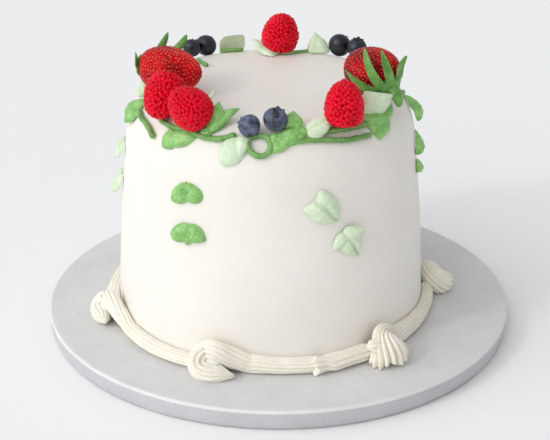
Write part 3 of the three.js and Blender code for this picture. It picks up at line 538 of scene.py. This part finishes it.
def leaflet_rings(berry, *run):
    """A narrow blade along a parabola through base, middle and tip over the fruit: width goes with a
    sine that is fullest near the base, the edges fold up, and the tip lifts with the cube of the way."""
    along, turn = np.meshgrid(np.linspace(0.015, 0.985, 34), np.linspace(0, 2 * np.pi, 28, endpoint=False),
                              indexing="ij")
    angles, reaches = np.radians(run[0:6:2]), np.array(run[1:6:2])
    base, middle, tip = np.stack([reaches * np.cos(angles), reaches * np.sin(angles)], -1)
    t = along[..., None]
    flat = base * (1 - t) * (1 - 2 * t) + middle * 4 * t * (1 - t) + tip * t * (2 * t - 1)
    way = np.gradient(flat, axis=0)
    side = np.stack([-way[..., 1], way[..., 0]], -1) / np.linalg.norm(way, axis=-1, keepdims=True)
    half = SEPAL_WIDTH / 2 * np.sin(np.pi * (0.24 + 0.76 * along ** 1.15)) ** 0.75
    flat = flat - side * (np.cos(turn) * half)[..., None]
    rise = SEPAL_THICKNESS + run[6] * along ** 3 + 0.9 * np.cos(turn) ** 2 * np.sin(np.pi * along) ** 0.5
    face = SEPAL_THICKNESS / 2 * np.sin(turn) * (4 * along * (1 - along)) ** 0.3
    return over_berry(berry, np.arctan2(flat[..., 1], flat[..., 0]), np.hypot(flat[..., 0], flat[..., 1]),
                      rise + face)


def tube_rings(middles, side, up, radius):
    """Rings of a tube: each is a circle of its own radius about a middle, between the side and up
    directions there."""
    turn = np.linspace(0, 2 * np.pi, 20, endpoint=False)[None, :, None]
    ring = np.cos(turn) * side[:, None] + np.sin(turn) * up[:, None]
    return middles[:, None] + ring * np.asarray(radius)[:, None, None]


def rounded_ends(count, length, radius):
    """Radius of a tube at even steps along its length, closed by a half ball at each end."""
    run = np.linspace(0, length, count)
    end = np.clip(np.minimum(run, length - run) / radius, 0, 1)
    return radius * np.sqrt(1 - (1 - end) ** 2)


sepal = finish("strawberry leaf", SEPAL_COLOURS, 5, 0.7, 0.35, (0.42, 0.6), 0.08,
               Subsurface_Weight=0.08, Subsurface_Radius=(0.001, 0.002, 0.0005), Subsurface_Scale=1.0)
for name, (leaflets, (stalk_length, stalk_radius, droop)) in TOPS.items():
    berry = STRAWBERRIES[name]
    turning, middle = berry_places[name]
    skins = [leaflet_rings(berry, *leaflet) for leaflet in leaflets]
    way = np.linspace(0, 1, 26)
    stalk = np.stack([droop * way ** 2, 0 * way, -berry["length"] / 2 + 1 - (stalk_length + 1) * way], -1)
    ones = np.ones((26, 1))
    swell = rounded_ends(26, stalk_length + 2, stalk_radius) * (1 + 1.3 * (1 - way) ** 5)
    skins.append(tube_rings(stalk, ones * [1, 0, 0], ones * [0, 1, 0], swell))
    turn = np.linspace(0, 2 * np.pi, 48, endpoint=False)[None]
    reach, height = np.array(COLLAR).T[..., None] + 0 * turn
    skins.append(over_berry(berry, turn, reach * (1 + 0.12 * np.cos(5 * turn)), height))
    lay(f"fresh_{name.replace('strawberry', 'top')}",
        [closed_skin(rings @ turning.T + middle) for rings in skins], [sepal], "calyx",
        name.replace("strawberry", "calyx"))

# ---------------------------------------------------------------- raspberries
# Four whole raspberries standing or leaning on the icing. Each is a cap of small round drupelets packed
# close together, glossy and full, over a core whose darker red between them is painted shade.

RASPBERRIES = {
    "raspberry_back": dict(radius=9.5, length=19.2, bearing=84.2, travel=53.2, heading=0, elevation=80),
    "raspberry_left": dict(radius=9.4, length=22, bearing=-141.8, travel=60.4, heading=-118, elevation=-38),
    "raspberry_front": dict(radius=9.6, length=20, bearing=-124.5, travel=61.3, heading=-150, elevation=46),
    "raspberry_right": dict(radius=9.1, length=21, bearing=-58.6, travel=60, heading=100, elevation=82),
}
# The outline as shares of the radius and of the length, from the stalk end to the tip.
RASPBERRY_OUTLINE = [(0, -0.3), (0.5, -0.49), (0.86, -0.43), (1, -0.16), (0.88, 0.11), (0.55, 0.37),
                     (0, 0.5)]
RASPBERRY_COLOURS = (204, 0, 24), (248, 4, 48)
# The core's darker red, seen between the drupelets, is painted shade.
HOLLOW_SHADE_COLOURS = (96, 2, 12), (126, 4, 18)
DRUPELET_SPACING, DRUPELET_RADIUS, DRUPELET_SUNK = 2.1, 1.27, 0.48


def packed(profile, spacing, draw):
    """Row along a turned profile and turn round it for each drupelet: they are scattered, then each is
    pushed off the others by exp(-(distance / spacing)^2) and drawn back to the profile, many times."""
    share = np.cumsum(profile[:, 0] * np.hypot(*np.gradient(profile, axis=0).T))
    count = int(2 * np.pi * share[-1] / (0.866 * spacing ** 2))
    row = np.searchsorted(share, draw.uniform(0, share[-1], count))
    turn = draw.uniform(-np.pi, np.pi, count)
    for _ in range(60):
        radius, height = profile[row].T
        places = np.stack([radius * np.cos(turn), radius * np.sin(turn), height], -1)
        apart = places[:, None] - places[None]
        push = (apart * np.exp(-(apart ** 2).sum(-1) / spacing ** 2)[..., None]).sum(1)
        places = places + 0.5 * push
        turn = np.arctan2(places[:, 1], places[:, 0])
        flat = np.stack([np.hypot(places[:, 0], places[:, 1]), places[:, 2]], -1)
        row = ((flat[:, None] - profile[None]) ** 2).sum(-1).argmin(1)
    return row, turn


drupelet = finish("raspberry drupelet", RASPBERRY_COLOURS, 6, 1.0, 0.35, (0.08, 0.18), 0.03,
                  Subsurface_Weight=0.2, Subsurface_Radius=(0.003, 0.0006, 0.0006), Subsurface_Scale=1.0,
                  Specular_IOR_Level=0.18)
hollow_shade = finish("raspberry hollow", HOLLOW_SHADE_COLOURS, 4, 0.8, 0.3, (0.5, 0.7), 0.05)
for name, berry in RASPBERRIES.items():
    profile = smooth_run(RASPBERRY_OUTLINE, 240) * [berry["radius"] - 0.3, berry["length"] - 0.6]
    profile[:, 0] = np.maximum(profile[:, 0], 0)
    core = turned(profile[::3] * [0.88, 0.91], 64)
    slope = np.gradient(profile, axis=0)
    slope /= np.hypot(*slope.T)[:, None]
    draw = np.random.default_rng(len(name))
    row, turn = packed(profile, DRUPELET_SPACING, draw)
    (radius, height), (rise, fall) = profile[row].T, slope[row].T
    places = np.stack([radius * np.cos(turn), radius * np.sin(turn), height], -1)
    outs = np.stack([fall * np.cos(turn), fall * np.sin(turn), -rise], -1)
    sizes = DRUPELET_RADIUS * draw.normal(1, 0.07, len(places))
    beads = unit_ball(9, 12)[2] * sizes[:, None, None, None] + (places - DRUPELET_SUNK * outs)[:, None, None]
    turning, middle = set_down(beads.reshape(-1, 3), berry)
    lay(f"fresh_{name}", [closed_skin(skin @ turning.T + middle) for skin in (core, beads)],
        [hollow_shade, drupelet], "raspberry", name)

# ---------------------------------------------------------------- blueberries
# Six blueberries resting on the icing. Each is a slightly flattened ball with a five-pointed crown
# round a dimple. The front two keep their pale bloom, and the others are rubbed dark.

# A blueberry's heading and elevation are its crown's, and rise is how far it is held off the icing.
BLUEBERRIES = {
    "blueberry_back_left": dict(radius=4.8, bearing=131.6, travel=60, heading=60, elevation=30, rise=0.8),
    "blueberry_back_left_far": dict(radius=5.6, bearing=122.2, travel=61.6, heading=70, elevation=15),
    "blueberry_back_right_far": dict(radius=6.0, bearing=55, travel=60.6, heading=60, elevation=15),
    "blueberry_back_right": dict(radius=5.2, bearing=44.4, travel=60, heading=300, elevation=76, rise=1.8),
    "blueberry_front_left": dict(radius=5.3, bearing=-98.4, travel=62.4, heading=205, elevation=28),
    "blueberry_front_right": dict(radius=5.7, bearing=-87.8, travel=59.4, heading=-40, elevation=65),
}
BLOOMED_COLOURS = (6, 7, 14), (104, 116, 144)
RUBBED_COLOURS = (2, 2, 5), (32, 37, 54)
# As shares of the radius: the crown's rim and its points, the dimple, and how far the ball is flattened.
CROWN_RIM, CROWN_POINT, DIMPLE, FLATTENED = 0.05, 0.16, 0.2, 0.92

bloomed = finish("bloomed blueberry skin", BLOOMED_COLOURS, 4, 0.9, 0.25, (0.34, 0.6), 0.03)
rubbed_skin = finish("rubbed blueberry skin", RUBBED_COLOURS, 5, 0.9, 0.25, (0.24, 0.42), 0.03)
for name, berry in BLUEBERRIES.items():
    fall, turn, ball = unit_ball(72, 100)
    points = 0.5 + 0.5 * np.cos(5 * turn)
    crown = np.exp(-((fall - 0.42) / 0.11) ** 2) * (CROWN_RIM + CROWN_POINT * points ** 2)
    reach = berry["radius"] * (1 + crown - DIMPLE * np.exp(-(fall / 0.3) ** 4))
    ball = ball * reach[..., None] * [1, 1, FLATTENED]
    turning, middle = set_down(ball, berry)
    skin = rubbed_skin if "back" in name else bloomed
    lay(f"fresh_{name}", [closed_skin(ball @ turning.T + middle)], [skin], "blueberry", name)

# ---------------------------------------------------------------- piped leaves
# Leaves of green icing piped through a leaf nozzle straight onto the cake. Each is one to four plump
# pointed blades pressed out side by side; some lie flat, some stand up or curl at the tip.

DARK_LEAF_COLOURS = (110, 172, 80), (166, 216, 134)
PALE_LEAF_COLOURS = (200, 222, 184), (228, 240, 216)
BLADE = dict(thick=3, rise=0, crease=0.16, lobes=0, tails=0, widest=0.7, blunt=0.6, point=1, wave=0.3,
             lean=0)
# Each blade: bearing and travel of its base, heading of its tip (0 along growing bearings, 90 towards
# the cake's axis), length and width; it leaves the icing at rise degrees and bends to curl degrees.
DARK_LEAVES = {
    "leaf_left_shoulder": [dict(at=(-162.2, 67.2, -152, 19, 10.5), rise=6, lobes=0.1),
                           dict(at=(-163, 69.4, -128, 12, 7), rise=10)],
    "leaf_front_left": [dict(at=(-130.4, 69.2, -128, 10.6, 9.4), thick=3.4, blunt=0.3),
                        dict(at=(-132.6, 72.4, 16, 14, 8.4), thick=3.4, blunt=0.36)],
    "leaf_by_blueberries": [dict(at=(-118, 64.4, 47, 17.5, 8), rise=12, curl=22),
                            dict(at=(-114, 62.6, 96, 11.5, 8.6), rise=44, curl=60, thick=2.2),
                            dict(at=(-115, 64.4, -160, 6.5, 5.5))],
    "leaf_front_dark": [dict(at=(-80.8, 61, 72, 8.4, 10), rise=34, curl=50, blunt=0.4, lobes=0.18)],
    "leaf_front_tip": [dict(at=(-86.4, 66.4, 14, 17, 8.4), thick=3.6),
                       dict(at=(-83, 64.4, -134, 11.5, 8), thick=3.4),
                       dict(at=(-86, 65.4, -165, 7, 6.5), thick=3)],
    "leaf_right_dark": [dict(at=(-37.2, 61, -114, 15.2, 18), thick=3.4, blunt=0.4, widest=0.5),
                        dict(at=(-36.4, 63.4, 2, 12.4, 9), thick=2.6, rise=14)],
    "wall_leaf_front_left_upper": [dict(at=(-121.2, 93, -140, 12.9, 9), thick=3.4, blunt=0.3, point=0.7,
                                        crease=0.2),
                                   dict(at=(-123.4, 94.2, -12, 10.6, 9.4), thick=3.4, blunt=0.3, point=0.2,
                                        crease=0.2),
                                   dict(at=(-122.4, 92, -92, 7.8, 8), thick=3.9, blunt=0.3, point=0.2,
                                        crease=0.2),
                                   dict(at=(-122.5, 93.2, 90, 3.4, 2.8), thick=2)],
    "wall_leaf_front_left_lower": [dict(at=(-120.6, 113, -148, 12, 8.8), thick=3.6, blunt=0.3, point=0.2,
                                        crease=0.1),
                                   dict(at=(-120, 110, -97, 11.4, 7.6), thick=4, blunt=0.5, crease=0.2),
                                   dict(at=(-120.8, 113, -22, 10.4, 8.8), thick=3.8, blunt=0.4)],
    "wall_leaf_right_upper": [dict(at=(1.4, 68, -100, 15.4, 8.6), thick=4.8, widest=1.5, rise=6)],
    "wall_leaf_right_middle": [dict(at=(-6.4, 84, -94, 13.5, 9), thick=4.6, widest=1.8, blunt=0.7,
                                    point=0.3)],
    "wall_leaf_right_lower": [dict(at=(-9, 98.5, -90, 7.4, 8), thick=3.4, widest=1.5, blunt=0.7, point=0.4)],
    "wall_leaf_back_left_upper": [dict(at=(115.6, 92.6, -142, 11.6, 9), thick=3.4, blunt=0.3, crease=0.2),
                                  dict(at=(113.8, 92.8, -30, 11.2, 9.2), thick=3.4, blunt=0.3, crease=0.2),
                                  dict(at=(114.8, 91.4, -92, 8.2, 7), thick=3.7, blunt=0.4, crease=0)],
    "wall_leaf_back_left_lower": [dict(at=(118, 112.8, -146, 11.4, 9), thick=3.4, blunt=0.3, crease=0.2),
                                  dict(at=(115.8, 113, -34, 11.2, 9), thick=3.4, blunt=0.3, crease=0.2),
                                  dict(at=(116.9, 111.4, -92, 8.8, 7), thick=3.7, blunt=0.4, crease=0)],
}
PALE_LEAVES = {
    "leaf_left_pale": [dict(at=(-172, 62.6, 175, 9, 8), thick=2, rise=30)],
    "leaf_spike": [dict(at=(-130, 48.5, 50, 11, 5), thick=1.8, rise=60)],
    "leaf_front_pale": [dict(at=(-101.8, 66.2, -122, 15.4, 12), blunt=0.4, widest=0.95, point=0.3,
                             crease=0.08),
                        dict(at=(-100.8, 65.2, -92, 9.4, 7), blunt=0.5, rise=10, crease=0)],
    "leaf_front_right_pale": [dict(at=(-75, 64.2, 16, 14.6, 8.6), rise=16, curl=30, crease=0.3),
                              dict(at=(-70.6, 62, -112, 7.4, 9), rise=8, blunt=0.4, crease=0.1)],
    "leaf_right_pale": [dict(at=(-40.2, 62, 72, 13.8, 15), thick=1.8, rise=84, curl=84, blunt=0.05, point=0,
                             tails=0.1, crease=0)],
    "leaf_back_right_pale": [dict(at=(62.6, 54.6, -62, 11.2, 11), thick=2.4, rise=68, curl=76, widest=0.45,
                                  lean=0.24),
                             dict(at=(67, 56.4, -62, 6.6, 5.4), thick=2.4, rise=50, curl=60, blunt=0.3,
                                  point=0.3)],
    "leaf_back_pale": [dict(at=(86.4, 46.6, -38, 18.5, 10.5), lobes=0.05, blunt=0.5, rise=2, curl=34)],
    "leaf_back_left_curled": [dict(at=(110.5, 58.6, 90, 9.5, 14), thick=1.8, rise=80, curl=60, blunt=0.12,
                                   point=0)],
    "wall_leaf_left_upper": [dict(at=(-177, 92, -90, 10.5, 14), thick=3.6, rise=12, curl=34, lobes=0.18)],
    "wall_leaf_left_lower": [dict(at=(-176, 109.5, -92, 12, 15), thick=3.6, rise=12, curl=40, lobes=0.18)],
    "wall_leaf_front_right_upper": [dict(at=(-73.4, 96.6, -44, 15.6, 15), thick=4.4, blunt=0.36, lobes=0.2,
                                         crease=0.65)],
    "wall_leaf_front_right_lower": [dict(at=(-62, 114.6, -138, 10, 6.6), thick=3.2, blunt=0.8, crease=0),
                                    dict(at=(-62.4, 115, -58, 14, 12), thick=3.6, crease=0.75),
                                    dict(at=(-62.4, 117.4, 29, 10.6, 10.6), thick=3, rise=6, curl=30,
                                         crease=0)],
    "wall_leaf_back_right_upper": [dict(at=(49.8, 92.6, -66, 14.4, 12), thick=3.8, blunt=0.42, crease=0.5),
                                   dict(at=(54, 92, -104, 12.4, 9.4), thick=3.6, blunt=0.4)],
    "wall_leaf_back_right_lower": [dict(at=(54, 112.8, -116, 12, 9.4), thick=3.6, blunt=0.4),
                                   dict(at=(57.4, 112, -80, 13.6, 12), thick=3.8, blunt=0.42, crease=0.5)],
}


def blade_rings(at, thick, rise, crease, lobes, tails, widest, blunt, point, wave, lean, curl=None):
    """A plump blade over the icing: it follows an arc that leaves at rise and ends at curl degrees, is
    as wide as a power of a sine of the way along, pointed at its tip, and is domed across with a crease
    down its middle and low ruffles from the nozzle. Lobes draw the sides of its base back, tails push
    them ahead, and lean bends it aside with the square of the way."""
    bearing, travel, heading, length, width = at
    start = np.radians(rise)
    bend = np.radians((rise if curl is None else curl) - rise) or 1e-6
    ahead, aside = np.cos(np.radians(heading)), np.sin(np.radians(heading))
    v, turn = np.meshgrid(np.linspace(0.006, 0.994, 44), np.linspace(0, 2 * np.pi, 64, endpoint=False),
                          indexing="ij")
    u = -np.cos(turn)
    pitch = start + bend * v
    reach = length * (np.sin(pitch) - np.sin(start)) / bend
    lift = length * (np.cos(start) - np.cos(pitch)) / bend
    taper = blunt + point * (1 - blunt) * v ** 3
    half = width / 2 * np.sin(np.pi * (0.07 + 0.927 * v ** widest)) ** taper
    groove = 1 - crease * np.exp(-((u - 0.1 * np.sin(6 * v)) / 0.15) ** 2)
    groove = groove + 0.03 * np.sin(9 * u + 3 * v) * (1 - u * u)
    full = np.maximum(0, np.sin(turn)) * thick * np.sin(np.pi * v ** widest) ** 0.5 * groove
    full *= 1 + 0.025 * np.sin(length * 2.2 * (v - 0.15 * u * u) + bearing)
    spread = tails * v * v - lobes
    x = reach + spread * length * u * u * (1 - v) - full * np.sin(pitch)
    y = half * u + lean * length * v * v
    ripple = wave * np.sin(4 * np.pi * v) * u * u * np.sin(np.pi * v)
    height = 0.12 + np.maximum(0, lift + ripple)
    inner = np.maximum(20, np.interp(travel - x * aside, OUTLINE_TRAVEL, OUTLINE[:, 0]))
    return on_cake(bearing + np.degrees((x * ahead - y * aside) / inner), travel - x * aside - y * ahead,
                   height + full * np.cos(pitch))


dark_leaf = finish("green leaf icing", DARK_LEAF_COLOURS, 5, 1.0, 0.45, (0.28, 0.42), 0.2,
                   Subsurface_Weight=0.1, Subsurface_Radius=(0.002, 0.003, 0.001), Subsurface_Scale=1.0)
pale_leaf = finish("pale leaf icing", PALE_LEAF_COLOURS, 5, 1.0, 0.45, (0.3, 0.44), 0.2,
                   Subsurface_Weight=0.1, Subsurface_Radius=(0.002, 0.003, 0.001), Subsurface_Scale=1.0)
for name, blades in {**DARK_LEAVES, **PALE_LEAVES}.items():
    colour, slot = (dark_leaf, "dark_leaf_icing") if name in DARK_LEAVES else (pale_leaf, "pale_leaf_icing")
    lay(f"piped_{name}", [closed_skin(blade_rings(**{**BLADE, **blade})) for blade in blades], [colour],
        slot, name)

# ---------------------------------------------------------------- piped vines
# Thin stems of green icing squeezed through a plain round nozzle, joining the leaves over the
# shoulder. They wander a little, swell and thin as they run, and end rounded.

VINE_COLOURS = (96, 144, 70), (132, 178, 102)
# Each vine: its radius, and the bearing and travel of the points that it runs through.
VINES = {
    "vine_left": (1.35, [(-160.5, 68.5), (-155.4, 69.9), (-149.8, 70.8), (-144.9, 72.6), (-141.3, 75)]),
    "vine_front_left": (1.35, [(-142.8, 65.8), (-137.6, 66.8), (-132, 67), (-124.9, 66.6), (-118.5, 67.8),
                               (-112.5, 67.9), (-107.8, 66.6), (-104, 64.6)]),
    "vine_loop": (1.35, [(-98.7, 66.3), (-95, 64.8), (-91.4, 65.4), (-89.9, 68.8), (-90.8, 72.3),
                         (-93.4, 73.9), (-96.6, 72.8), (-98.6, 69.8), (-98.9, 67.2)]),
    "vine_right_upper": (1.35, [(-70.6, 65), (-64.8, 64.7), (-57.8, 65), (-51.7, 65.3), (-45.5, 65.6)]),
    "vine_right_lower": (1.35, [(-79.5, 67.6), (-74.1, 67.5), (-68, 68.3), (-59.5, 69.9), (-54, 70.4),
                                (-46.5, 70.8)]),
    "vine_right_end": (1.35, [(-8.5, 62.5), (-5, 64.5), (-1.2, 66)]),
    "vine_back_left": (1.0, [(118, 57), (112, 55.6), (105, 55)]),
    "vine_back_right": (0.8, [(83, 47), (78, 49), (72, 53), (68.5, 56)]),
    "vine_behind_strawberry": (1.0, [(136.5, 52.5), (138.6, 47), (141, 41.5)]),
}

vine_icing = finish("green vine icing", VINE_COLOURS, 6, 1.0, 0.3, (0.4, 0.56), 0.06,
                    Subsurface_Weight=0.1, Subsurface_Radius=(0.002, 0.003, 0.001), Subsurface_Scale=1.0)
for name, (radius, run) in VINES.items():
    steps = 24 * len(run)
    line = smooth_run(run, steps)
    middles = on_cake(line[:, 0], line[:, 1], radius + 0.12)
    up = on_cake(line[:, 0], line[:, 1], radius + 1.12) - middles
    forward = np.gradient(middles, axis=0)
    side = np.cross(forward, up)
    side /= np.linalg.norm(side, axis=1, keepdims=True)
    length = np.linalg.norm(np.diff(middles, axis=0), axis=1).sum()
    way = np.linspace(0, 1, steps)
    swell = 1 + 0.07 * np.sin(0.9 * length * way) + 0.05 * np.sin(2.3 * length * way + 1)
    rings = tube_rings(middles, side, up, rounded_ends(steps, length, radius) * swell)
    lay(f"piped_{name}", [closed_skin(rings)], [vine_icing], "vine_icing", name)

# ---------------------------------------------------------------- floor, light and camera
# A plain pale floor, a broad window and a smaller lamp that both light it from the left and front, and
# a pale surround that fills the shadows. The camera looks down at the cake by 24 degrees.

FLOOR_COLOUR = (250, 250, 250)
FLOOR_REACH = 6.0
LIGHT_TILT, LIGHT_TURN = 58, -55
SURROUND_COLOUR, SURROUND_LEFT, SURROUND_RIGHT = (0.97, 0.985, 1.0, 1), 0.72, 0.5
SENSOR_WIDTH, FOCAL_PIXELS, PHOTO_WIDTH_PIXELS = 36, 1505.863, 550
CAMERA_PLACE, CAMERA_DOWN = (-0.001793, -0.712154, 0.371495), 24.074

corners = np.array([(-1, -1), (1, -1), (1, 1), (-1, 1)]) * FLOOR_REACH
floor_mesh = bpy.data.meshes.new("floor")
floor_mesh.from_pydata([(x, y, 0) for x, y in corners], [], [(0, 1, 2, 3)])
floor = bpy.data.objects.new("floor", floor_mesh)
bpy.context.scene.collection.objects.link(floor)
pale_floor = finish("pale floor", (FLOOR_COLOUR, FLOOR_COLOUR), 400, 60, 0.2, (0.8, 0.9), 0.0)
floor_mesh.materials.append(pale_floor)
floor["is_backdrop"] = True

for name, energy, breadth in ("window", 1.3, 80), ("lamp", 0.42, 7):
    sun = bpy.data.lights.new(name, "SUN")
    sun.energy, sun.angle = energy, np.radians(breadth)
    light = bpy.data.objects.new(name, sun)
    light.rotation_euler = (np.radians(LIGHT_TILT), 0, np.radians(LIGHT_TURN))
    bpy.context.scene.collection.objects.link(light)

world = bpy.data.worlds.new("surround")
world.use_nodes = True
nodes, link = world.node_tree.nodes, world.node_tree.links.new
away = nodes.new("ShaderNodeSeparateXYZ")
link(nodes.new("ShaderNodeTexCoord").outputs["Generated"], away.inputs[0])
dimmer = nodes.new("ShaderNodeMapRange")
dimmer.inputs["From Min"].default_value = -1
dimmer.inputs["To Min"].default_value, dimmer.inputs["To Max"].default_value = SURROUND_LEFT, SURROUND_RIGHT
link(away.outputs["X"], dimmer.inputs["Value"])
link(dimmer.outputs["Result"], nodes["Background"].inputs["Strength"])
nodes["Background"].inputs["Color"].default_value = SURROUND_COLOUR
bpy.context.scene.world = world
bpy.context.scene.view_settings.view_transform = "Standard"

lens = bpy.data.cameras.new("camera")
lens.sensor_width = SENSOR_WIDTH
lens.lens = SENSOR_WIDTH * FOCAL_PIXELS / PHOTO_WIDTH_PIXELS
camera = bpy.data.objects.new("camera", lens)
camera.location = CAMERA_PLACE
camera.rotation_euler = (np.radians(90 - CAMERA_DOWN), 0, 0)
bpy.context.scene.collection.objects.link(camera)
bpy.context.scene.camera = camera

sizes = {"cad": cad_box, "visual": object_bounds()}
